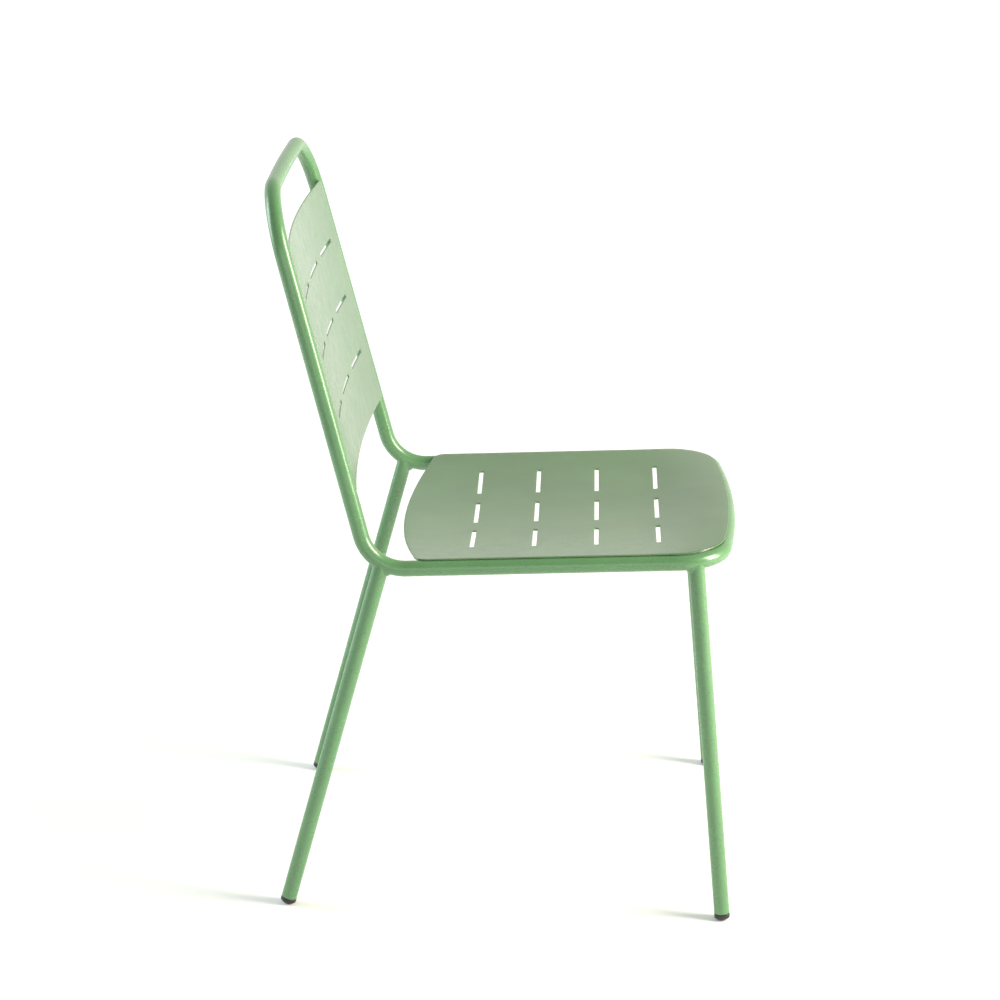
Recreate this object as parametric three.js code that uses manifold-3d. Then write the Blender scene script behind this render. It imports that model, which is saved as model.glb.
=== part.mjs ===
// Stacking chair in bent steel tube with a dished sheet seat and back.
// Frame: millimetres, +X forward, +Y to the sitter's left, +Z up. The origin is on the floor, under the
// middle of the chair's overall depth and width. The chair is the same on both sides of the XZ plane.
//
// How it is built: two U-shaped tubes meet end to end on the side rails and make one closed loop. It runs
// round the seat, up both posts and over the top. Four straight tube legs are coped to the underside of
// the loop and welded on. Each leg ends in a pressed-in plastic glide. The seat and back are steel sheets,
// laid on the loop and held by short welds underneath.
import * as THREE from "three";
import { mergeVertices } from "three/addons/utils/BufferGeometryUtils.js";
import Module from "manifold-3d";

const wasm = await Module();
wasm.setup();

// ---- driving dimensions (mm) ----------------------------------------------------------------------
const TUBE_RADIUS = 9.5;
const BORE_RADIUS = 8;
const SHEET_THICKNESS = 2;
const GAP = 0.3; // left between two pieces that touch
const WELD_THROAT = 3.2; // radius of the weld round each leg's top

// The loop of tube, as corner points and the radius that each corner is bent to.
const RAIL_HEIGHT = 442.9; // centreline of the side rails above the origin
const SEAT_TILT = THREE.MathUtils.degToRad(1.8); // the front is the higher end
const BACK_RECLINE = THREE.MathUtils.degToRad(14); // posts, from the vertical
const SEAT_HALF_WIDTH = 205.5; // side rail centreline
const TOP_HALF_WIDTH = 192; // post centrelines, where they meet the line of the top rail
const FRONT_X = 254.6; // where the front rail's line meets a side rail's line
const BEND_X = -157.3; // where a post's line meets a side rail's line
const POST_LENGTH = 454.8; // from that point to the line of the top rail
const FRONT_APEX = 25.9; // the front rail bows forward: its end tangents meet this far ahead of FRONT_X
const TOP_APEX = 3; // and the top rail bows back
const FRONT_CORNER_RADIUS = 54.5;
const FRONT_RAIL_RADIUS = 1250;
const SEAT_BEND_RADIUS = 52.7;
const TOP_CORNER_RADIUS = 79;
const TOP_RAIL_RADIUS = 4500;
const JOINT_X = 196; // the butt joint between the two tubes, close behind each front leg

// Legs: where each one stands on the floor, and the X at which it meets the loop.
const LEGS = [
  { end: "front", foot: [265.6, 232.5], joinX: 228.2 },
  { end: "rear", foot: [-267.6, 202.5], joinX: -147.5 },
];
const GLIDE_HEIGHT = 9; // from the floor to the end of the tube, along the leg
const GLIDE_DOME_RADIUS = 12;
const GLIDE_DOME_CENTRE = 11; // above the floor
const STEM_LENGTH = 17;
const STEM_CHAMFER = 1.5;

// Seat sheet, in the plane of the side rails: X along them from above the origin, Y across.
const SEAT_SAG = 13.6; // depth of the dish across the width
const SEAT_FADE = 105; // the dish dies out over this distance behind the front rail
const SEAT_EDGE = 1.5; // how far the sheet reaches past the tube's centreline
const SEAT_FRONT_RADIUS = 1200;
const SEAT_CORNER = 63; // radius of the front corners
const SEAT_REAR_ENDS = -103.2; // where the lines of the bowed rear edge meet the sides
const SEAT_REAR_APEX = -147.2; // and where they meet each other
const SEAT_REAR_RADIUS = 770;
const SEAT_REAR_CORNER = 15;
const SHEET_CLEARANCE = 0.5; // between a sheet and the tube behind it, square to the sheet

// Back sheet, in the plane of the posts: X up along them from the lower bend's corner, Y across. Its side
// edges lie against the inner front of the posts.
const BACK_INSET = 6.5; // from a post's centreline to the sheet's edge
const BACK_SAG = 10.5;
const BACK_BOTTOM = 95.5;
const BACK_TOP = 394.5;
const BACK_CORNER = 4;
const BACK_SHOULDER = 16; // over this length below its top it narrows, as the posts bend inwards there
const BACK_NARROWING = 2.2; // on each side
const BACK_SHOULDER_RADIUS = 60;

// Ventilation slots: long across the chair, in columns and rows.
const SLOT_CORNER = 1.6;
const SEAT_SLOTS = { along: [-40, 34.7, 109.3, 184], across: [-110.4, 0, 110.4], length: 75, width: 5.2 };
const BACK_SLOTS = { along: [173.5, 247.9, 322.3], across: [-113, 0, 113], length: 78, width: 4.2 };

// Short welds that hold the sheets to the tube.
const TACK_RADIUS = 2.5;
const TACK_LENGTH = 18; // between the centres of its round ends
const SEAT_TACKS = { side: [-85, 35, 155], front: [-90, 90] };
const BACK_TACKS = [130, 245, 360];

// How finely round shapes are divided.
const TUBE_SIDES = 14;
const ARC_TOLERANCE = 0.3; // the most that a chord may stand off its arc
const GLIDE_SIDES = 12;
const GLIDE_DOME_STEPS = 3;
const WELD_STATIONS = 12;
const WELD_SIDES = 6;
const TACK_SIDES = 6;
const TACK_END_STEPS = 2;
const SHEET_CELL = 32; // distance between the bend lines of a sheet
const MERGE_DISTANCE = 1e-4; // vertices nearer than this are one

// ---- materials ------------------------------------------------------------------------------------
const paint = () => new THREE.MeshStandardMaterial({ color: 0x79a571, roughness: 0.35, metalness: 0.05 });
const sheetPaint = () => new THREE.MeshStandardMaterial({ color: 0x9db797, roughness: 0.35, metalness: 0.05 });
const glidePlastic = () => new THREE.MeshStandardMaterial({ color: 0x232124, roughness: 0.6, metalness: 0 });

// ---- bent centrelines -----------------------------------------------------------------------------
// The arc that rounds a corner: it starts and ends on the two straight lines that meet there.
function cornerArc(before, corner, after, radius) {
  const back = before.clone().sub(corner).normalize();
  const ahead = after.clone().sub(corner).normalize();
  const half = back.angleTo(ahead) / 2;
  const reach = radius / Math.tan(half);
  const start = corner.clone().addScaledVector(back, reach);
  const end = corner.clone().addScaledVector(ahead, reach);
  const middle = back.clone().add(ahead).normalize();
  const centre = corner.clone().addScaledVector(middle, radius / Math.sin(half));
  const turn = Math.PI - 2 * half;
  const axis = back.clone().negate().cross(ahead).normalize();
  const spoke = start.clone().sub(centre);
  const point = (k) => spoke.clone().applyAxisAngle(axis, k * turn).add(centre);
  const heading = back.clone().negate();
  const tangent = (k) => heading.clone().applyAxisAngle(axis, k * turn);
  const steps = Math.ceil(turn / (2 * Math.acos(1 - ARC_TOLERANCE / radius)));
  return { start, end, point, tangent, steps };
}

// A path of straight runs and round corners. Its parameter advances by one division per station, so a
// straight run costs one step and a bend as many as its angle needs.
class BentPath extends THREE.Curve {
  constructor(from, corners, to) {
    super();
    const points = [from, ...corners.map((c) => c.at), to];
    const arcs = corners.map((c, i) => cornerArc(points[i], c.at, points[i + 2], c.radius));
    this.pieces = [];
    let here = from;
    for (const arc of [...arcs, null]) {
      const there = arc ? arc.start : to;
      this.pieces.push(straightRun(here, there));
      if (arc) this.pieces.push(arc);
      here = arc ? arc.end : to;
    }
    this.stations = this.pieces.reduce((sum, piece) => sum + piece.steps, 0);
  }

  locate(t) {
    let left = Math.min(Math.max(t, 0), 1) * this.stations;
    for (const piece of this.pieces) {
      if (left <= piece.steps) return [piece, left / piece.steps];
      left -= piece.steps;
    }
    return [this.pieces.at(-1), 1];
  }

  getPoint(t, target = new THREE.Vector3()) {
    const [piece, k] = this.locate(t);
    return target.copy(piece.point(k));
  }

  getTangent(t, target = new THREE.Vector3()) {
    const [piece, k] = this.locate(t);
    return target.copy(piece.tangent(k));
  }

  getUtoTmapping(u) {
    return u;
  }
}

function straightRun(start, end) {
  const heading = end.clone().sub(start).normalize();
  return {
    start,
    end,
    steps: 1,
    point: (k) => start.clone().lerp(end, k),
    tangent: () => heading.clone(),
  };
}

// The point of a path that lies nearest to a given one.
const SEARCH_STEPS = 24;
function nearestPoint(path, point) {
  let best = path.pieces[0].start;
  for (const piece of path.pieces) {
    let [low, high] = [0, 1];
    for (let i = 0; i < SEARCH_STEPS; i++) {
      const [a, b] = [low + (high - low) / 3, high - (high - low) / 3];
      if (piece.point(a).distanceTo(point) < piece.point(b).distanceTo(point)) high = b;
      else low = a;
    }
    const found = piece.point((low + high) / 2);
    if (found.distanceTo(point) < best.distanceTo(point)) best = found;
  }
  return best;
}

// ---- solids ---------------------------------------------------------------------------------------
function circlePath(PathClass, radius, sides) {
  const path = new PathClass();
  for (let i = 0; i <= sides; i++) {
    const angle = (i / sides) * 2 * Math.PI;
    const [x, y] = [radius * Math.cos(angle), radius * Math.sin(angle)];
    if (i === 0) path.moveTo(x, y);
    else path.lineTo(x, y);
  }
  return path;
}

// A round bar or, with a bore, a hollow tube, swept along a path.
function sweep(path, steps, radius, bore = 0) {
  const section = circlePath(THREE.Shape, radius, TUBE_SIDES);
  if (bore) section.holes.push(circlePath(THREE.Path, bore, TUBE_SIDES));
  return new THREE.ExtrudeGeometry(section, { steps, extrudePath: path });
}

function toSolid(geometry, matrix) {
  const bare = new THREE.BufferGeometry();
  const source = geometry.index ? geometry.toNonIndexed() : geometry;
  bare.setAttribute("position", source.getAttribute("position").clone());
  if (matrix) bare.applyMatrix4(matrix);
  const merged = mergeVertices(bare, MERGE_DISTANCE);
  const triVerts = new Uint32Array(merged.index.array);
  const vertProperties = merged.attributes.position.array;
  return new wasm.Manifold(new wasm.Mesh({ numProp: 3, vertProperties, triVerts }));
}

function toGeometry(solid, matrix) {
  const mesh = solid.getMesh();
  const geometry = new THREE.BufferGeometry();
  geometry.setAttribute("position", new THREE.BufferAttribute(mesh.vertProperties, 3));
  geometry.setIndex(new THREE.BufferAttribute(mesh.triVerts, 1));
  if (matrix) geometry.applyMatrix4(matrix);
  geometry.computeVertexNormals();
  return geometry;
}

// Cuts a piece that stands in a group by solids given in the chair's frame.
function cutInPlace(geometry, group, cutters) {
  let solid = toSolid(geometry, group.matrixWorld);
  for (const cutter of cutters) solid = solid.subtract(cutter);
  return toGeometry(solid, group.matrixWorld.clone().invert());
}

function addMesh(group, name, geometry, material) {
  const mesh = new THREE.Mesh(geometry, material);
  mesh.name = name;
  group.add(mesh);
  return mesh;
}

const chair = new THREE.Group();
const SIDES = [
  { side: "left", sign: 1 },
  { side: "right", sign: -1 },
];

// ---- the loop of tube -----------------------------------------------------------------------------
const railPoint = (x, y) => new THREE.Vector3(x, y, RAIL_HEIGHT + x * Math.tan(SEAT_TILT));
const bendCorner = railPoint(BEND_X, 0);
const topPoint = (y, apex = 0) =>
  new THREE.Vector3(
    bendCorner.x - POST_LENGTH * Math.sin(BACK_RECLINE) - apex,
    y,
    bendCorner.z + POST_LENGTH * Math.cos(BACK_RECLINE),
  );

const frontPath = new BentPath(
  railPoint(JOINT_X + GAP / 2, SEAT_HALF_WIDTH),
  [
    { at: railPoint(FRONT_X, SEAT_HALF_WIDTH), radius: FRONT_CORNER_RADIUS },
    { at: railPoint(FRONT_X + FRONT_APEX, 0), radius: FRONT_RAIL_RADIUS },
    { at: railPoint(FRONT_X, -SEAT_HALF_WIDTH), radius: FRONT_CORNER_RADIUS },
  ],
  railPoint(JOINT_X + GAP / 2, -SEAT_HALF_WIDTH),
);
const backPath = new BentPath(
  railPoint(JOINT_X - GAP / 2, -SEAT_HALF_WIDTH),
  [
    { at: railPoint(BEND_X, -SEAT_HALF_WIDTH), radius: SEAT_BEND_RADIUS },
    { at: topPoint(-TOP_HALF_WIDTH), radius: TOP_CORNER_RADIUS },
    { at: topPoint(0, TOP_APEX), radius: TOP_RAIL_RADIUS },
    { at: topPoint(TOP_HALF_WIDTH), radius: TOP_CORNER_RADIUS },
    { at: railPoint(BEND_X, SEAT_HALF_WIDTH), radius: SEAT_BEND_RADIUS },
  ],
  railPoint(JOINT_X - GAP / 2, SEAT_HALF_WIDTH),
);
const hoops = [
  { name: "seat_hoop", path: frontPath },
  { name: "back_hoop", path: backPath },
];
for (const { name, path } of hoops) {
  addMesh(chair, name, sweep(path, path.stations, TUBE_RADIUS, BORE_RADIUS), paint());
}
// The room that the loop takes up, for cutting the pieces that touch it. Its bends are divided twice as
// finely as the tube's own, so that no sliver of a leg is left outside them.
const loopRoom = hoops.map(({ path }) => toSolid(sweep(path, 2 * path.stations, TUBE_RADIUS + GAP)));

// ---- legs -----------------------------------------------------------------------------------------
// Each leg is a group that stands on the floor with its +Z up the leg.
const FLOOR_DEPTH = 40;
const floorBlock = new THREE.BoxGeometry(FLOOR_DEPTH, FLOOR_DEPTH, FLOOR_DEPTH);

function glideGeometry(domeCentre) {
  const bottom = domeCentre - GLIDE_DOME_RADIUS;
  const rimAngle = Math.asin(TUBE_RADIUS / GLIDE_DOME_RADIUS);
  const stemRadius = BORE_RADIUS - GAP;
  const shoulder = GLIDE_HEIGHT - GAP;
  const profile = [new THREE.Vector2(0, bottom)];
  for (let i = 1; i <= GLIDE_DOME_STEPS; i++) {
    const angle = (rimAngle * i) / GLIDE_DOME_STEPS;
    const height = domeCentre - GLIDE_DOME_RADIUS * Math.cos(angle);
    profile.push(new THREE.Vector2(GLIDE_DOME_RADIUS * Math.sin(angle), height));
  }
  profile.push(new THREE.Vector2(TUBE_RADIUS, shoulder));
  profile.push(new THREE.Vector2(stemRadius, shoulder));
  profile.push(new THREE.Vector2(stemRadius, shoulder + STEM_LENGTH - STEM_CHAMFER));
  profile.push(new THREE.Vector2(stemRadius - STEM_CHAMFER, shoulder + STEM_LENGTH));
  profile.push(new THREE.Vector2(0, shoulder + STEM_LENGTH));
  // A lathe turns about +Y, so it is laid over to turn about +Z.
  return new THREE.LatheGeometry(profile, GLIDE_SIDES).rotateX(Math.PI / 2);
}

// The weld round a leg's top: a round bead along the line where the two tubes' surfaces meet.
function weldGeometry(group, path, legLength) {
  const points = [];
  for (let i = 0; i < WELD_STATIONS; i++) {
    const angle = (i / WELD_STATIONS) * 2 * Math.PI;
    const [x, y] = [TUBE_RADIUS * Math.cos(angle), TUBE_RADIUS * Math.sin(angle)];
    let [low, high] = [legLength / 2, legLength];
    for (let step = 0; step < SEARCH_STEPS; step++) {
      const middle = (low + high) / 2;
      const point = group.localToWorld(new THREE.Vector3(x, y, middle));
      if (nearestPoint(path, point).distanceTo(point) > TUBE_RADIUS) low = middle;
      else high = middle;
    }
    points.push(new THREE.Vector3(x, y, low));
  }
  const ring = new THREE.CatmullRomCurve3(points, true);
  const bead = circlePath(THREE.Shape, WELD_THROAT, WELD_SIDES);
  return new THREE.ExtrudeGeometry(bead, { steps: WELD_STATIONS, extrudePath: ring });
}

function makeLeg({ end, foot, joinX }, { side, sign }) {
  const path = end === "front" ? frontPath : backPath;
  const stand = new THREE.Vector3(foot[0], sign * foot[1], 0);
  const top = nearestPoint(path, railPoint(joinX, sign * SEAT_HALF_WIDTH));
  const up = top.clone().sub(stand);
  const legLength = up.length();
  up.normalize();

  const group = new THREE.Group();
  group.position.copy(stand);
  group.quaternion.setFromUnitVectors(new THREE.Vector3(0, 0, 1), up);
  chair.add(group);
  chair.updateMatrixWorld(true);

  const axisLine = new THREE.LineCurve3(
    new THREE.Vector3(0, 0, GLIDE_HEIGHT),
    new THREE.Vector3(0, 0, legLength),
  );
  const tube = sweep(axisLine, 1, TUBE_RADIUS, BORE_RADIUS);
  addMesh(group, `${end}_leg_${side}`, cutInPlace(tube, group, loopRoom), paint());

  const floor = toSolid(floorBlock, new THREE.Matrix4().makeTranslation(stand.x, stand.y, -FLOOR_DEPTH / 2));
  const glide = glideGeometry(GLIDE_DOME_CENTRE / up.z);
  addMesh(group, `foot_glide_${end}_${side}`, cutInPlace(glide, group, [floor]), glidePlastic());

  const legRoom = toSolid(sweep(axisLine, 1, TUBE_RADIUS + GAP), group.matrixWorld);
  const bead = weldGeometry(group, path, legLength);
  addMesh(group, `leg_weld_${end}_${side}`, cutInPlace(bead, group, [...loopRoom, legRoom]), paint());
}

for (const leg of LEGS) {
  for (const side of SIDES) makeLeg(leg, side);
}

// ---- sheets ---------------------------------------------------------------------------------------
// An outline of straight runs and round corners, given in order and closed on itself.
function roundedOutline(PathClass, corners) {
  const at = corners.map(([x, y]) => new THREE.Vector3(x, y, 0));
  const outline = new PathClass();
  const count = corners.length;
  corners.forEach(([, , radius], i) => {
    const arc = cornerArc(at[(i + count - 1) % count], at[i], at[(i + 1) % count], radius);
    for (let k = 0; k <= arc.steps; k++) {
      const point = arc.point(k / arc.steps);
      if (i === 0 && k === 0) outline.moveTo(point.x, point.y);
      else outline.lineTo(point.x, point.y);
    }
  });
  outline.closePath();
  return outline;
}

function slotOutline(x, y, length, width) {
  const [halfLength, halfWidth] = [length / 2, width / 2];
  return roundedOutline(THREE.Path, [
    [x - halfWidth, y - halfLength, SLOT_CORNER],
    [x + halfWidth, y - halfLength, SLOT_CORNER],
    [x + halfWidth, y + halfLength, SLOT_CORNER],
    [x - halfWidth, y + halfLength, SLOT_CORNER],
  ]);
}

// A sheet whose top face stands at height(x, y): a slab bent to that surface, then trimmed to the outline.
const TRIM_HEIGHT = 120;
function slab(height, thickness, [lowX, highX], halfWidth) {
  const [length, width] = [highX - lowX, 2 * halfWidth];
  const [columns, rows] = [Math.ceil(length / SHEET_CELL), Math.ceil(width / SHEET_CELL)];
  const geometry = new THREE.BoxGeometry(length, width, thickness, columns, rows, 1);
  geometry.translate((lowX + highX) / 2, 0, -thickness / 2);
  const position = geometry.getAttribute("position");
  for (let i = 0; i < position.count; i++) {
    const [x, y, z] = [position.getX(i), position.getY(i), position.getZ(i)];
    position.setZ(i, z + height(x, y));
  }
  return geometry;
}

function trimmedSheet(blank, outline, slots) {
  for (const x of slots.along) {
    for (const y of slots.across) outline.holes.push(slotOutline(x, y, slots.length, slots.width));
  }
  const trim = new THREE.ExtrudeGeometry(outline, { depth: TRIM_HEIGHT, bevelEnabled: false });
  trim.translate(0, 0, -TRIM_HEIGHT / 2);
  return toGeometry(toSolid(blank).intersect(toSolid(trim)));
}

// A short weld, lying along X or Y in the corner between a sheet and the tube below it.
function tack(along, x, y, z) {
  const bead = new THREE.CapsuleGeometry(TACK_RADIUS, TACK_LENGTH, TACK_END_STEPS, TACK_SIDES);
  if (along === "x") bead.rotateZ(Math.PI / 2);
  return bead.translate(x, y, z);
}

const OVERHANG = 8; // how far a slab reaches past its outline before it is trimmed
const SEAT_TACK_INSET = 7.5; // the tacks lie this far inside the tube's centreline
const BACK_TACK_INSET = 9.3;
const TACK_DROP = 2.6; // and this far behind the sheet's edge

// ---- seat sheet -----------------------------------------------------------------------------------
const seatGroup = new THREE.Group();
seatGroup.position.set(0, 0, RAIL_HEIGHT);
seatGroup.rotation.y = -SEAT_TILT;
chair.add(seatGroup);
chair.updateMatrixWorld(true);

const apexAngle = Math.atan2(FRONT_APEX, SEAT_HALF_WIDTH);
const frontRailX = FRONT_X + FRONT_APEX - FRONT_RAIL_RADIUS * (1 / Math.cos(apexAngle) - 1);
const frontRailAt = (y) => frontRailX - FRONT_RAIL_RADIUS + Math.sqrt(FRONT_RAIL_RADIUS ** 2 - y ** 2);
const seatUnderside = TUBE_RADIUS + SHEET_CLEARANCE;
const seatTop = seatUnderside + SHEET_THICKNESS;

// Across the chair the seat is a shallow dish, which dies out where the sheet comes up on the front rail.
function seatHeight(x, y) {
  const fade = THREE.MathUtils.smoothstep((frontRailAt(y) - x) / SEAT_FADE, 0, 1);
  return seatTop - SEAT_SAG * fade * (1 - (y / SEAT_HALF_WIDTH) ** 2);
}

const seatHalf = SEAT_HALF_WIDTH + SEAT_EDGE;
const seatOutline = roundedOutline(THREE.Shape, [
  [FRONT_X + SEAT_EDGE, -seatHalf, SEAT_CORNER],
  [FRONT_X + FRONT_APEX + SEAT_EDGE, 0, SEAT_FRONT_RADIUS],
  [FRONT_X + SEAT_EDGE, seatHalf, SEAT_CORNER],
  [SEAT_REAR_ENDS, seatHalf, SEAT_REAR_CORNER],
  [SEAT_REAR_APEX, 0, SEAT_REAR_RADIUS],
  [SEAT_REAR_ENDS, -seatHalf, SEAT_REAR_CORNER],
]);
const seatSpan = [SEAT_REAR_APEX, frontRailX + OVERHANG];
const seatBlank = slab(seatHeight, SHEET_THICKNESS, seatSpan, seatHalf + OVERHANG);
addMesh(seatGroup, "seat_sheet", trimmedSheet(seatBlank, seatOutline, SEAT_SLOTS), sheetPaint());

const seatRoom = toSolid(
  slab((x, y) => seatHeight(x, y) + GAP, SHEET_THICKNESS + 2 * GAP, seatSpan, seatHalf + OVERHANG),
  seatGroup.matrixWorld,
);
const seatTackHeight = seatUnderside - TACK_DROP;
for (const { side, sign } of SIDES) {
  SEAT_TACKS.side.forEach((x, i) => {
    const bead = tack("x", x, sign * (SEAT_HALF_WIDTH - SEAT_TACK_INSET), seatTackHeight);
    const cut = cutInPlace(bead, seatGroup, [...loopRoom, seatRoom]);
    addMesh(seatGroup, `seat_weld_${side}_${i + 1}`, cut, paint());
  });
}
SEAT_TACKS.front.forEach((y, i) => {
  const bead = tack("y", frontRailAt(y) - SEAT_TACK_INSET, y, seatTackHeight);
  const cut = cutInPlace(bead, seatGroup, [...loopRoom, seatRoom]);
  addMesh(seatGroup, `seat_weld_front_${i + 1}`, cut, paint());
});

// ---- back sheet -----------------------------------------------------------------------------------
const backGroup = new THREE.Group();
backGroup.position.copy(bendCorner);
backGroup.rotation.y = -(Math.PI / 2 + BACK_RECLINE);
chair.add(backGroup);
chair.updateMatrixWorld(true);

const postHalfWidth = (x) => THREE.MathUtils.lerp(SEAT_HALF_WIDTH, TOP_HALF_WIDTH, x / POST_LENGTH);
const backHalfWidth = (x) => postHalfWidth(x) - BACK_INSET;
const backRearFace = Math.sqrt(TUBE_RADIUS ** 2 - BACK_INSET ** 2) + SHEET_CLEARANCE;

// The group's +Z points backwards, so the sheet's rear face is its top: it bulges between the posts.
function backHeight(x, y) {
  return BACK_SAG * (1 - (y / backHalfWidth(x)) ** 2) - backRearFace;
}

const shoulderX = BACK_TOP - BACK_SHOULDER;
const backSide = [
  [BACK_BOTTOM, backHalfWidth(BACK_BOTTOM), BACK_CORNER],
  [shoulderX, backHalfWidth(shoulderX), BACK_SHOULDER_RADIUS],
  [BACK_TOP, backHalfWidth(BACK_TOP) - BACK_NARROWING, BACK_CORNER],
];
const backOutline = roundedOutline(THREE.Shape, [
  ...backSide.map(([x, y, radius]) => [x, -y, radius]),
  ...backSide.toReversed(),
]);
const backSpan = [BACK_BOTTOM - OVERHANG, BACK_TOP + OVERHANG];
const backBlank = slab(backHeight, SHEET_THICKNESS, backSpan, SEAT_HALF_WIDTH + OVERHANG);
addMesh(backGroup, "back_sheet", trimmedSheet(backBlank, backOutline, BACK_SLOTS), sheetPaint());

const backRoom = toSolid(
  slab((x, y) => backHeight(x, y) + GAP, SHEET_THICKNESS + 2 * GAP, backSpan, SEAT_HALF_WIDTH + OVERHANG),
  backGroup.matrixWorld,
);
for (const { side, sign } of SIDES) {
  BACK_TACKS.forEach((x, i) => {
    const bead = tack("x", x, sign * (postHalfWidth(x) - BACK_TACK_INSET), TACK_DROP - backRearFace);
    const cut = cutInPlace(bead, backGroup, [...loopRoom, backRoom]);
    addMesh(backGroup, `back_weld_${side}_${i + 1}`, cut, paint());
  });
}

export default chair;
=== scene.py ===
import math

import bmesh
import bpy
import numpy as np
from mathutils import Matrix, Vector, noise
from mathutils.geometry import delaunay_2d_cdt


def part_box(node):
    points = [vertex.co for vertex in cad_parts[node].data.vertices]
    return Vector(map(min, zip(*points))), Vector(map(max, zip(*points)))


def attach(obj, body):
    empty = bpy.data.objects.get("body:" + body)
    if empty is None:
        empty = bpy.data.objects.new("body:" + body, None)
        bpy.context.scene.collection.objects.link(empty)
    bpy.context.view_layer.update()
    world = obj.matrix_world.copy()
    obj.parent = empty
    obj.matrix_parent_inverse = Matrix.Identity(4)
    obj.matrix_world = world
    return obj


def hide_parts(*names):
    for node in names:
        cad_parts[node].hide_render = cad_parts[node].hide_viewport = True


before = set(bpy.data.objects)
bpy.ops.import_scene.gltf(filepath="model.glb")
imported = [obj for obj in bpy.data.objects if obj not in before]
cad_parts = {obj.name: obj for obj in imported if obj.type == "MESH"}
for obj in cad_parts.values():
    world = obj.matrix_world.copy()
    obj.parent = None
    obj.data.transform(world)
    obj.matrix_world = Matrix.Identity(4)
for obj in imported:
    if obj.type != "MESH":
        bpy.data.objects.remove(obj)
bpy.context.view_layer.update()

# A stacking chair in powder-coated steel tube and sheet. Row frame: metres, +X forward, +Y to the sitter's
# left, +Z up, with the origin on the floor. The CAD solids are faceted and stand 0.3 mm apart, so every one
# is replaced here by a finer surface in the same place.

MM = 0.001

# ---- driving dimensions -----------------------------------------------------------------------------------
TUBE_RADIUS = 9.5 * MM
SHEET_THICKNESS = 2 * MM
SEAT_CLEARANCE = 0.12 * MM  # between the seat and the tube that it lies on

RAIL_HEIGHT = 442.9 * MM  # centreline of the side rails above the origin
SEAT_TILT = math.radians(1.8)
BACK_RECLINE = math.radians(14)
SEAT_HALF_WIDTH = 205.5 * MM
TOP_HALF_WIDTH = 192 * MM
FRONT_X = 254.6 * MM  # where the front rail's line meets a side rail's line
BEND_X = -157.3 * MM  # where a post's line meets a side rail's line
POST_LENGTH = 454.8 * MM
FRONT_APEX = 25.9 * MM  # bow of the front rail, as the reach of its end tangents
TOP_APEX = 3 * MM
FRONT_CORNER_RADIUS = 54.5 * MM
FRONT_RAIL_RADIUS = 1250 * MM
SEAT_BEND_RADIUS = 52.7 * MM
TOP_CORNER_RADIUS = 79 * MM
TOP_RAIL_RADIUS = 4500 * MM
JOINT_X = 196 * MM  # where the two tubes of the loop meet

FRONT_FOOT = (265.6 * MM, 232.5 * MM)
FRONT_LEG_JOIN_X = 228.2 * MM
REAR_FOOT = (-267.6 * MM, 202.5 * MM)
REAR_LEG_JOIN_X = -147.5 * MM
GLIDE_HEIGHT = 9 * MM

SEAT_SAG = 13.6 * MM
SEAT_FADE = 105 * MM  # the dish dies out over this distance behind the front rail
SEAT_EDGE = 1.5 * MM  # how far the seat reaches past the tube's centreline
SEAT_FRONT_RADIUS = 1200 * MM
SEAT_CORNER = 63 * MM
SEAT_REAR_ENDS = -103.2 * MM  # where the lines of the bowed rear edge meet the sides
SEAT_REAR_APEX = -147.2 * MM  # and where they meet each other
SEAT_REAR_RADIUS = 770 * MM
SEAT_REAR_CORNER = 15 * MM
SEAT_FRONT_LIFT = 0.5 * MM  # the pressed front edge stands a little off its tube
SEAT_LIFT_START = 160 * MM
SEAT_LIFT_RUN = 60 * MM
BACK_INSET = 6.5 * MM  # from a post's centreline to the sheet's edge
BACK_SAG = 10.5 * MM
BACK_BOTTOM = 95.5 * MM  # along the posts, from the lower bend's corner
BACK_TOP = 394.5 * MM
BACK_CORNER = 4 * MM
BACK_SHOULDER = 16 * MM  # over this length below its top it narrows, as the posts bend inwards there
BACK_NARROWING = 2.2 * MM
BACK_SHOULDER_RADIUS = 60 * MM

SLOT_CORNER = 1.6 * MM
SEAT_SLOT_SIZE = (5.2 * MM, 75 * MM)
SEAT_SLOTS_ALONG = [x * MM for x in (-40, 34.7, 109.3, 184)]
SEAT_SLOTS_ACROSS = [y * MM for y in (-110.4, 0, 110.4)]
BACK_SLOT_SIZE = (4.2 * MM, 78 * MM)
BACK_SLOTS_ALONG = [x * MM for x in (173.5, 247.9, 322.3)]
BACK_SLOTS_ACROSS = [y * MM for y in (-113, 0, 113)]

# How finely the surfaces are divided.
TUBE_SIDES = 64
BEND_ANGLE_STEP = math.radians(3)
BEND_LENGTH_STEP = 8 * MM
SHEET_CELL = 5 * MM
GRID_CLEARANCE = 0.6 * SHEET_CELL  # least distance from a sheet's inner points to its rims
SHARP_ANGLE = math.radians(50)
QUARTER_TURN = [math.radians(angle) for angle in range(0, 91, 15)]  # angles round a rounded rim
TINY = 1e-12  # stands in for zero in a division


# ---- materials --------------------------------------------------------------------------------------------
NOISE_SPAN = (0.3, 0.7)  # nearly all of a noise texture's values lie in it
MIX_FACTOR, MIX_A, MIX_B = 0, 6, 7  # the inputs of a Mix node that mixes colours
MIX_RESULT = 2

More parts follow.
